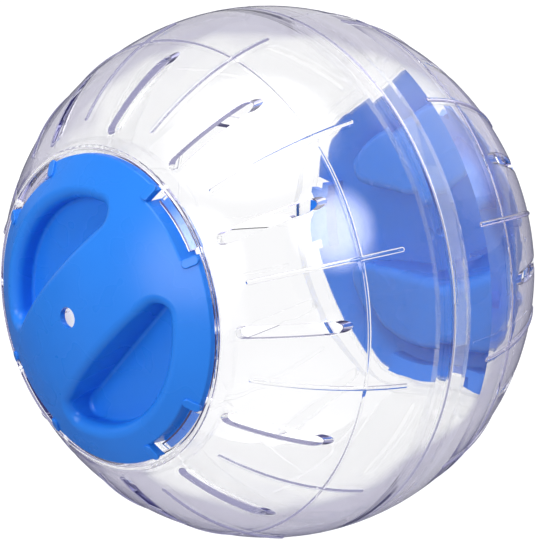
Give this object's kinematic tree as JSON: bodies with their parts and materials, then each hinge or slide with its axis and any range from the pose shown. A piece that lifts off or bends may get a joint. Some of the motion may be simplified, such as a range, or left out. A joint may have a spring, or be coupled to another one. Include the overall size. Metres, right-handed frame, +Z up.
{
  "type": "hamster ball",
  "caption": "Clear hollow exercise ball for a small pet, split into vented half shells that twist-lock at the seam, with a domed twist-off lid with finger pockets at each pole.",
  "frame": {"origin": "centre of the ball", "axes": "the ball's axis runs along Y through both lids, the front lid looks along -Y, +Z is up"},
  "size_m": [0.14, 0.1398, 0.14],
  "materials": {
    "clear_shell": "clear moulded polystyrene, polished",
    "blue_lid": "blue moulded plastic, gloss"
  },
  "bodies": {
    "front_half": {"front_half": "clear_shell"},
    "rear_half": {"rear_half": "clear_shell"},
    "front_lid": {"front_lid": "blue_lid"},
    "rear_lid": {"rear_lid": "blue_lid"}
  },
  "joints": [
    {"name": "front_lid_twist", "type": "hinge", "parent": "front_half", "child": "front_lid", "pos_m": [0, 0, 0], "axis": [0, -1, 0], "range_deg": [0, 45]},
    {"name": "rear_half_twist", "type": "hinge", "parent": "front_half", "child": "rear_half", "pos_m": [0, 0, 0], "axis": [0, -1, 0], "range_deg": [0, 9.3]},
    {"name": "rear_lid_twist", "type": "hinge", "parent": "rear_half", "child": "rear_lid", "pos_m": [0, 0, 0], "axis": [0, 1, 0], "range_deg": [0, 45]}
  ]
}
